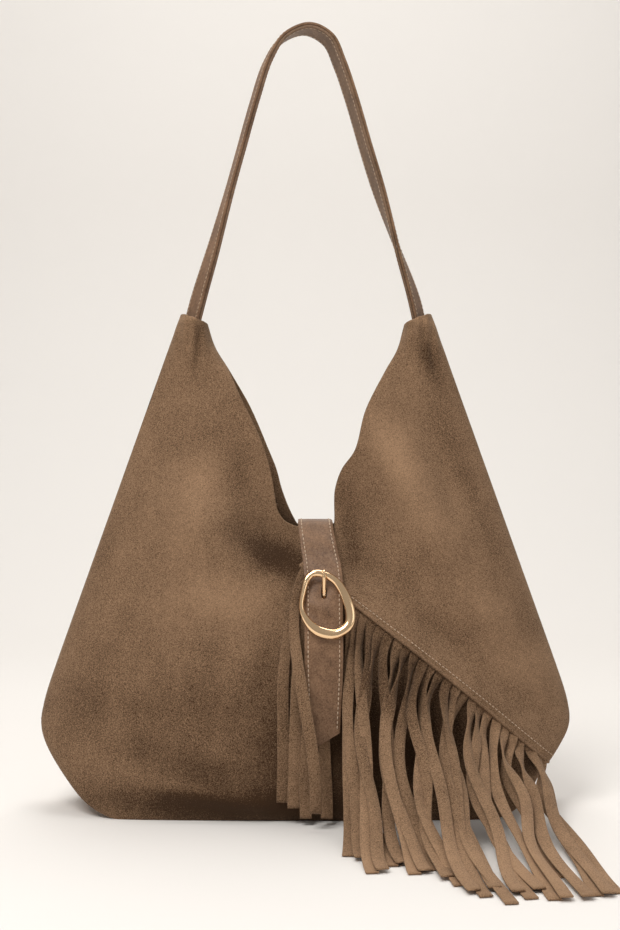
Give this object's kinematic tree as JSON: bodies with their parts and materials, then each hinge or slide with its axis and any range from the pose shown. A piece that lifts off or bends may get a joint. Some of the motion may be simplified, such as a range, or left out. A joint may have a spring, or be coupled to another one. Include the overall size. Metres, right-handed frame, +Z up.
{
  "type": "fringed suede bag",
  "caption": "Large slouchy suede shoulder bag with an arched strap, a diagonal fringe of long strands and a buckled tab over its open mouth.",
  "frame": {"origin": "middle of the base's underside, where the bag stands", "axes": "+Z up to the top of the strap, -Y towards the fringed front, +X to the right seen from the front"},
  "size_m": [0.4525, 0.314, 0.6696],
  "materials": {
    "suede": "napped, matt",
    "strap_leather": "smooth, satin",
    "lining_leather": "smooth, matt",
    "gold_metal": "polished"
  },
  "bodies": {
    "bag": {"back_panel": "suede", "front_panel": "suede", "overlay_panel": "suede", "base_gusset": "suede", "fringe": "suede", "strap_outer": "strap_leather", "strap_lining": "lining_leather", "closure_tab": "strap_leather", "closure_tab_lining": "lining_leather", "buckle_chape": "strap_leather"},
    "buckle_frame": {"buckle_frame": "gold_metal"},
    "buckle_prong": {"buckle_prong": "gold_metal"}
  },
  "joints": [
    {"name": "buckle_swing", "type": "hinge", "parent": "bag", "child": "buckle_frame", "pos_m": [0.016, -0.05461, 0.1793], "axis": [-1, 0, 0], "range_deg": [0, 4.5]},
    {"name": "prong_lift", "type": "hinge", "parent": "buckle_frame", "child": "buckle_prong", "pos_m": [0.016, -0.05461, 0.1793], "axis": [1, 0, 0], "range_deg": [0, 5]}
  ]
}
